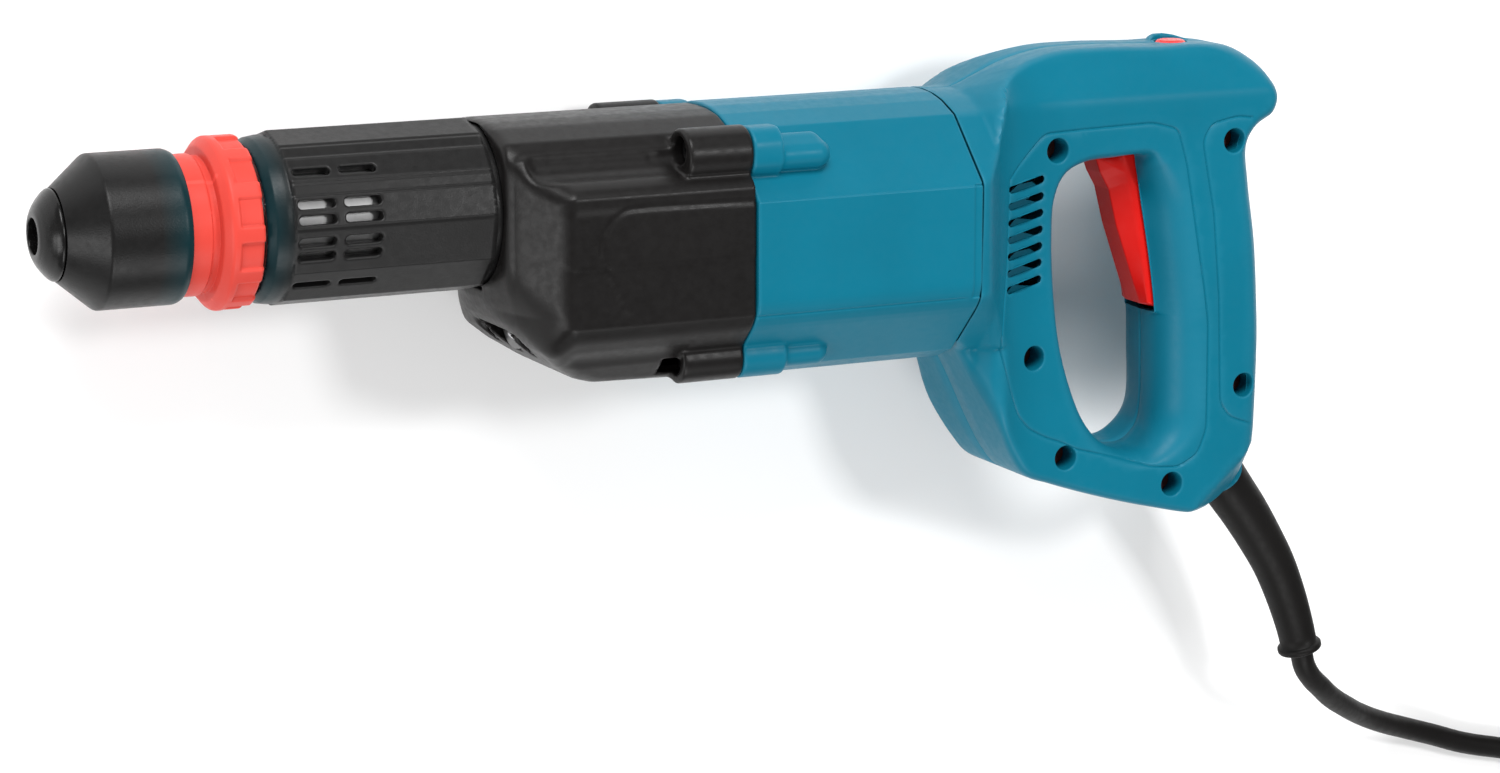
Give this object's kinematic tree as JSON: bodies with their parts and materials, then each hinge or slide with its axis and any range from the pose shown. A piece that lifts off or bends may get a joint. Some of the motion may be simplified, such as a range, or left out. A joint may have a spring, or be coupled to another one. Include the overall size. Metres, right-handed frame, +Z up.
{
  "type": "demolition hammer",
  "caption": "Light electric demolition hammer with a quick-release chuck, red change ring, faceted housings, closed D-handle, trigger and mains cord, lying on its side.",
  "frame": {"origin": "Centre of the tool's own plan outline, without the cord, on the surface that it lies on", "axes": "+X from the nose towards the handle along the barrel, +Y towards the tool's top side, +Z up, out of the tool's left side; the tool lies on its right side"},
  "size_m": [0.668, 0.2782, 0.0832],
  "materials": {
    "soft_rubber": "satin moulded rubber",
    "black_plastic": "fine spark-eroded moulded nylon",
    "red_plastic": "smooth moulded",
    "teal_plastic": "fine satin moulded glass-filled nylon",
    "inner_plastic": "moulded",
    "ground_steel": "ground",
    "spring_steel": "drawn wire",
    "bronze": "sintered",
    "cast_aluminium": "machined casting",
    "black_screws": "black oxide",
    "red_brown_screws": "thread-locking coat",
    "core_steel": "stacked laminations",
    "copper": "enamelled copper",
    "brass": "pressed",
    "carbon": "pressed carbon",
    "capacitor_yellow": "moulded box",
    "lead_blue": "insulated wire",
    "cord_rubber": "rubber sheath",
    "nickel": "nickel plated"
  },
  "bodies": {
    "root": {"oil_seal": "soft_rubber", "front_bush": "bronze", "barrel": "cast_aluminium", "barrel_cover": "black_plastic", "bolt_guide": "ground_steel", "cylinder": "ground_steel", "shaft_bearings": "ground_steel", "gear_housing": "black_plastic", "belly_screws": "black_screws", "bearing_plate": "cast_aluminium", "housing_screws": "black_screws", "motor_housing": "teal_plastic", "motor_bearing_front": "ground_steel", "motor_bearing_rear": "ground_steel", "baffle": "inner_plastic", "stator_core": "core_steel", "field_coils": "copper", "end_bracket": "inner_plastic", "brush_holders": "brass", "carbon_brushes": "carbon", "brush_springs": "spring_steel", "handle_left": "teal_plastic", "handle_right": "teal_plastic", "handle_screws": "red_brown_screws", "trigger_pin": "ground_steel", "trigger_spring": "spring_steel", "switch_body": "inner_plastic", "capacitor": "capacitor_yellow", "motor_leads": "lead_blue", "inner_cable": "cord_rubber", "cord_clamp": "inner_plastic", "cord_guard": "soft_rubber", "cord": "cord_rubber", "cord_coil": "cord_rubber", "plug_body": "cord_rubber", "plug_pins": "nickel"},
    "chuck": {"tool_holder": "ground_steel", "dust_cap": "soft_rubber", "chuck_spring": "spring_steel", "index_spring": "spring_steel"},
    "ball": {"locking_ball": "ground_steel"},
    "sleeve": {"chuck_sleeve": "black_plastic"},
    "ring": {"change_ring": "red_plastic"},
    "bolt": {"impact_bolt": "ground_steel", "bolt_o_ring": "soft_rubber"},
    "striker": {"striker": "ground_steel", "striker_o_rings": "soft_rubber"},
    "piston": {"piston": "cast_aluminium"},
    "pin": {"piston_pin": "ground_steel"},
    "wobble": {"wobble_ring": "ground_steel", "wobble_balls": "ground_steel"},
    "shaft": {"intermediate_shaft": "ground_steel", "driven_gear": "ground_steel"},
    "armature": {"armature_shaft": "ground_steel", "armature_core": "core_steel", "armature_winding": "copper", "commutator": "copper", "fan": "inner_plastic"},
    "trigger": {"trigger": "red_plastic"},
    "lock": {"lock_button": "red_plastic"}
  },
  "joints": [
    {"name": "chuck_turn", "type": "hinge", "parent": "root", "child": "chuck", "pos_m": [-0.172, 0.0385, 0.0416], "axis": [1, 0, 0], "continuous": true},
    {"name": "sleeve_slide", "type": "slide", "parent": "chuck", "child": "sleeve", "axis": [1, 0, 0], "range_m": [0, 0.0048], "stiffness_N_per_m": 1200, "springref_m": -0.003, "deforming": ["chuck_spring"]},
    {"name": "ball_release", "type": "slide", "parent": "chuck", "child": "ball", "axis": [0, 1, 0], "range_m": [0, 0.0024]},
    {"name": "ring_index", "type": "slide", "parent": "chuck", "child": "ring", "axis": [-1, 0, 0], "range_m": [0, 0.003], "stiffness_N_per_m": 1200, "springref_m": -0.002, "deforming": ["index_spring"]},
    {"name": "bolt_slide", "type": "slide", "parent": "root", "child": "bolt", "axis": [-1, 0, 0], "range_m": [0, 0.003]},
    {"name": "striker_slide", "type": "slide", "parent": "root", "child": "striker", "axis": [-1, 0, 0], "range_m": [-0.005, 0.0045]},
    {"name": "piston_slide", "type": "slide", "parent": "root", "child": "piston", "axis": [-1, 0, 0], "range_m": [-0.008, 0.008]},
    {"name": "pin_turn", "type": "hinge", "parent": "piston", "child": "pin", "pos_m": [-0.036, 0.0385, 0.0416], "axis": [0, 0, 1], "range_deg": [-13.6, 13.6]},
    {"name": "wobble_tilt", "type": "hinge", "parent": "root", "child": "wobble", "pos_m": [-0.036, 0.0045, 0.0416], "axis": [0, 0, 1], "range_deg": [-13.6, 13.6]},
    {"name": "armature_spin", "type": "hinge", "parent": "root", "child": "armature", "pos_m": [0.038, 0.0225, 0.0416], "axis": [1, 0, 0], "continuous": true},
    {"name": "shaft_spin", "type": "hinge", "parent": "root", "child": "shaft", "pos_m": [-0.036, 0.0045, 0.0416], "axis": [1, 0, 0], "continuous": true},
    {"name": "trigger_pull", "type": "hinge", "parent": "root", "child": "trigger", "pos_m": [0.164, -0.0045, 0.0416], "axis": [0, 0, -1], "range_deg": [0, 8.5], "stiffness_Nm_per_rad": 1.2, "springref_deg": -5.73, "deforming": ["trigger_spring"]},
    {"name": "lock_press", "type": "slide", "parent": "root", "child": "lock", "axis": [0, -1, 0], "range_m": [0, 0.003], "stiffness_N_per_m": 500, "springref_m": -0.002}
  ],
  "couplings": [
    {"joint": "ball_release", "follows": "sleeve_slide", "ratio": 0.5},
    {"joint": "wobble_tilt", "follows": "piston_slide", "rad_per_m": 29.412},
    {"joint": "pin_turn", "follows": "piston_slide", "rad_per_m": 29.412},
    {"joint": "shaft_spin", "follows": "armature_spin", "ratio": -0.28571}
  ]
}
